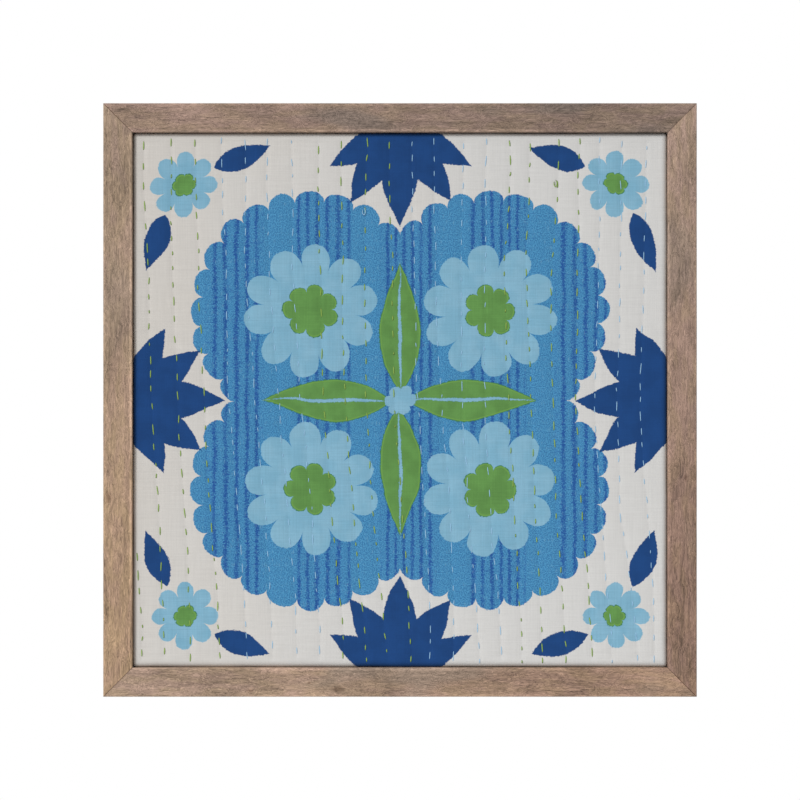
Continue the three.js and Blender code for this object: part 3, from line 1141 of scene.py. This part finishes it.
def make_cloth(settings, face):
    """The cloth as one closed sheet: quilted front, wrapped edges, turned margin and the inner side."""
    flat = PANEL_HALF - settings.edge_radius
    thickness = BOARD_FRONT_Y - PANEL_FRONT_Y - TOUCH_GAP
    plan = MeshPlan()
    grid_x, grid_z = front_grid(face, flat)
    lay_front(plan, face, grid_x, grid_z)

    # From the edge of the front on, the cloth is a series of rings round the panel.
    slots = ring_slots(grid_x, grid_z[:, 0], flat)
    ring = list(zip(outline_points(*grid_x.shape), [slot["base"] for slot in slots]))
    outer, inner = wrap_profile(settings, thickness)
    for outside, ring_places in ((True, outer), (False, inner)):
        for ring_place in ring_places:
            following = lay_ring(plan, slots, settings, ring_place, outside)
            join_rings(plan, ring, following)
            ring = following

    # The inner side of the front, flat against the board.
    lid = list(dict.fromkeys(point for point, _ in ring))
    plan.add_face(lid, [(plan.points[i].x, plan.points[i].z) for i in lid])
    return plan.make_piece("quilted_cloth")


def sweep_thread(plan, route, half_width, half_height, taper):
    """Adds one closed length of thread along a route. U is metres from its nearer end."""
    start = len(plan.points)
    steps = [(b - a).length for a, b in zip(route, route[1:])]
    run = [sum(steps[:i]) for i in range(len(route))]
    from_end = [min(r, run[-1] - r) for r in run]
    for i, centre in enumerate(route):
        ahead = route[min(i + 1, len(route) - 1)] - route[max(i - 1, 0)]
        ahead.normalize()
        outward = Vector((0, -1, 0))
        outward = (outward - ahead * outward.dot(ahead)).normalized()
        beside = ahead.cross(outward)
        share = i / (len(route) - 1)
        fullness = 1 - taper * (2 * share - 1) ** 4
        for k in range(THREAD_SIDES):
            angle = 2 * math.pi * k / THREAD_SIDES
            offset = beside * (math.cos(angle) * half_width) + outward * (math.sin(angle) * half_height)
            plan.points.append(centre + offset * fullness)
    for i in range(len(route) - 1):
        here = start + i * THREAD_SIDES
        there = here + THREAD_SIDES
        for k in range(THREAD_SIDES):
            following = (k + 1) % THREAD_SIDES
            low, high = k / THREAD_SIDES, (k + 1) / THREAD_SIDES
            plan.add_face(
                [here + k, here + following, there + following, there + k],
                [(from_end[i], low), (from_end[i], high), (from_end[i + 1], high), (from_end[i + 1], low)],
            )
    last = len(plan.points) - THREAD_SIDES
    for first, order in ((start, range(THREAD_SIDES - 1, -1, -1)), (last, range(THREAD_SIDES))):
        plan.add_face([first + k for k in order], [(0, k / THREAD_SIDES) for k in order])


def stitch_route(stitch, face, half_height):
    """A stitch comes out of the cloth, lies on it and goes back in."""
    low_x, low_z, high_x, high_z = stitch
    shares = np.linspace(0, 1, len(STITCH_RISE))
    x = low_x + (high_x - low_x) * shares
    z = low_z + (high_z - low_z) * shares
    depth = face.depth(x, z) - np.array(STITCH_RISE) * half_height
    return [Vector((float(a), PANEL_FRONT_Y + float(d), float(b))) for a, d, b in zip(x, depth, z)]


def loose_end_route(x, z, face, length, width):
    """A loose end of thread: it comes out of the cloth at a point and curls back beside itself."""
    depth = float(face.depth([x], [z])[0])
    curl = 1.7 * math.pi
    first_lift, rise = 0.35 * MM, 0.5 * MM
    route = []
    for share in np.linspace(0, 1, 22):
        angle = curl * share
        across = 0.5 * width * math.sin(angle) * (1 + 0.3 * share)
        down = 0.5 * length * (1 - math.cos(angle))
        lift = first_lift + rise * share
        route.append(Vector((x + across, PANEL_FRONT_Y + depth - lift, z - down)))
    return route


# The operators, one for each piece or group of like pieces


class TEXTILE_OT_studio_stage(bpy.types.Operator):
    """Makes the camera, the floor and the soft light"""

    bl_idname = "textile.studio_stage"
    bl_label = "Studio stage"

    def execute(self, context):
        looks = context.scene.textile_stage
        self.make_camera(looks)
        self.make_floor(looks)
        self.make_light(context.scene, looks)
        return {"FINISHED"}

    def make_camera(self, looks):
        data = bpy.data.cameras.new("camera")
        camera = new_object("camera", data)
        camera.location = (0, FRAME_FRONT_Y - looks.camera_distance, 0)
        camera.rotation_euler = (math.pi / 2, 0, 0)
        seen_width = 2 * FRAME_HALF * PHOTO_WIDTH_PX / FRAME_WIDTH_PX
        data.sensor_fit = "HORIZONTAL"
        data.sensor_width = 36
        data.lens = data.sensor_width * looks.camera_distance / seen_width
        bpy.context.scene.camera = camera

    def make_floor(self, looks):
        leave_selection()
        bpy.ops.mesh.primitive_circle_add(
            vertices=96, radius=looks.floor_radius, fill_type="NGON", location=(0, 0, looks.floor_height)
        )
        floor = bpy.context.object
        floor.name = "studio_floor"
        material, n, shader = new_material("pale floor")
        cloudy = n.noise(n.signal("ShaderNodeTexCoord", output="Object"), 3.0, detail=3.0)
        colour = n.mix_colour(cloudy, (0.78, 0.78, 0.77), (0.83, 0.83, 0.82))
        n.fill(shader, Base_Color=colour, Roughness=0.8)
        floor.data.materials.append(material)
        floor.select_set(False)

    def make_light(self, scene, looks):
        key = bpy.data.lights.new("key_light", "SUN")
        key.energy = looks.key_strength
        key.angle = looks.key_spread
        back = bpy.data.lights.new("back_light", "AREA")
        back.energy = looks.back_power
        back.size = BACK_LIGHT_SIZE
        for data, place in ((key, KEY_LIGHT_PLACE), (back, BACK_LIGHT_PLACE)):
            light = new_object(data.name, data)
            light.location = place
            light.rotation_euler = (-Vector(place)).to_track_quat("-Z", "Y").to_euler()
        world = bpy.data.worlds.new("studio white")
        scene.world = world
        world.use_nodes = True
        n = NodeSheet(world.node_tree)
        seen = n.signal("ShaderNodeLightPath", output="Is Camera Ray")
        strength = n.signal("ShaderNodeMix", {0: seen, 2: looks.fill, 3: 1.0}, data_type="FLOAT")
        n.fill(world.node_tree.nodes["Background"], Color=(1.0, 1.0, 1.0), Strength=strength)
        scene.view_settings.view_transform = "Standard"


class TEXTILE_OT_wood_rails(bpy.types.Operator):
    """Makes the four mitred rails of the tray frame"""

    bl_idname = "textile.wood_rails"
    bl_label = "Wood rails"

    def execute(self, context):
        settings = context.scene.textile_frame
        groups = {
            "grain": open_grain_group(),
            "knot": small_knot_group(),
            "wear": arris_wear_and_highlight_group(),
            "mitre": mitre_glue_and_shade_group(),
        }
        base = make_base_rail(settings)
        for name, look in RAILS.items():
            mesh = base.data.copy()
            mesh.transform(Matrix.Rotation(math.radians(look["turn"]), 4, "Y"))
            mesh.update()
            wear_rail(mesh, settings.wear_depth)
            rail = new_object(f"wood_{name}", mesh)
            mesh.materials.append(rail_material(name, look, groups, settings.face_width))
            smooth_by_angle(rail, 35)
            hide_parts(name)
            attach(rail, BODY)
        bpy.data.objects.remove(base)
        return {"FINISHED"}


class TEXTILE_OT_mount_board(bpy.types.Operator):
    """Gives the board behind the cloth its pressed-fibre finish"""

    bl_idname = "textile.mount_board"
    bl_label = "Mount board"

    def execute(self, context):
        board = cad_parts["mount_board"]
        board.data.materials.clear()
        board.data.materials.append(board_material())
        return {"FINISHED"}


class TEXTILE_OT_quilted_cloth(bpy.types.Operator):
    """Makes the printed and quilted cloth, wrapped round its board"""

    bl_idname = "textile.quilted_cloth"
    bl_label = "Quilted cloth"

    def execute(self, context):
        scene = context.scene
        face = QuiltedFace(scene.textile_cloth, scene.textile_stitch)
        cloth = make_cloth(scene.textile_cloth, face)
        face_outwards(cloth)
        smooth_by_angle(cloth, 50)
        cloth.data.materials.append(printed_cotton_material(scene.textile_cloth))
        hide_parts("cloth")
        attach(cloth, BODY)
        return {"FINISHED"}


class TEXTILE_OT_running_stitches(bpy.types.Operator):
    """Makes the running stitches and two loose ends, one piece for each thread"""

    bl_idname = "textile.running_stitches"
    bl_label = "Running stitches"

    def execute(self, context):
        scene = context.scene
        settings = scene.textile_stitch
        face = QuiltedFace(scene.textile_cloth, settings)
        twist = twisted_thread_group()
        flatness = 0.62
        threads = []
        # The fourth number is how much of the thread's colour is kept under the painted shade at a stitch's
        # ends, where it goes into the cloth.
        for thread, width, colour, painted_end_shade, loose_end in (
            ("green", settings.green_width, settings.green_thread[:], 0.5, (160 * MM, 226 * MM)),
            ("blue", settings.blue_width, settings.blue_thread[:], 0.8, (-37 * MM, 197 * MM)),
        ):
            half_width = width / 2
            half_height = half_width * flatness
            rows = zip(STITCH_ROWS_MM, face.stitches)
            stitches = [stitch for row, made in rows if row[0] == thread for stitch in made]
            plan = MeshPlan()
            for stitch in stitches:
                route = stitch_route(stitch, face, half_height)
                sweep_thread(plan, route, half_width, half_height, taper=0.35)
            loose = loose_end_route(*loose_end, face, length=6.5 * MM, width=2.6 * MM)
            sweep_thread(plan, loose, 0.4 * MM, 0.36 * MM, taper=0.3)
            piece = plan.make_piece(f"{thread}_stitches")
            face_outwards(piece)
            smooth_by_angle(piece, 60)
            piece.data.materials.append(thread_material(f"{thread} thread", colour, painted_end_shade, twist))
            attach(piece, BODY)
            threads.append(piece)
        self.declare_sheet(scene.textile_cloth, threads)
        return {"FINISHED"}

    def declare_sheet(self, cloth, threads):
        """The cloth was cut square: its front, two sides and two turned margins each way. This step does
        nothing.
        """


class TEXTILE_PT_panel(bpy.types.Panel):
    bl_label = "Framed Quilted Textile"
    bl_idname = "TEXTILE_PT_panel"
    bl_space_type = "VIEW_3D"
    bl_region_type = "UI"
    bl_category = "Textile"

    def draw(self, context):
        layout = self.layout
        for operator in OPERATORS:
            layout.operator(operator.bl_idname)
        for name in SETTINGS:
            box = layout.box()
            group = getattr(context.scene, name)
            for label in group.__annotations__:
                box.prop(group, label)


SETTINGS = {
    "textile_frame": FrameSettings,
    "textile_cloth": ClothSettings,
    "textile_stitch": StitchSettings,
    "textile_stage": StageSettings,
}
OPERATORS = (
    TEXTILE_OT_studio_stage,
    TEXTILE_OT_wood_rails,
    TEXTILE_OT_mount_board,
    TEXTILE_OT_quilted_cloth,
    TEXTILE_OT_running_stitches,
)


def register():
    for settings in SETTINGS.values():
        bpy.utils.register_class(settings)
    for operator in OPERATORS:
        bpy.utils.register_class(operator)
    bpy.utils.register_class(TEXTILE_PT_panel)
    for name, settings in SETTINGS.items():
        setattr(bpy.types.Scene, name, PointerProperty(type=settings))


def unregister():
    for name in SETTINGS:
        delattr(bpy.types.Scene, name)
    bpy.utils.unregister_class(TEXTILE_PT_panel)
    for part in (*OPERATORS, *SETTINGS.values()):
        bpy.utils.unregister_class(part)


def main():
    register()
    bpy.ops.textile.studio_stage()
    bpy.ops.textile.wood_rails()
    bpy.ops.textile.mount_board()
    bpy.ops.textile.quilted_cloth()
    bpy.ops.textile.running_stitches()


if __name__ == "__main__":
    main()
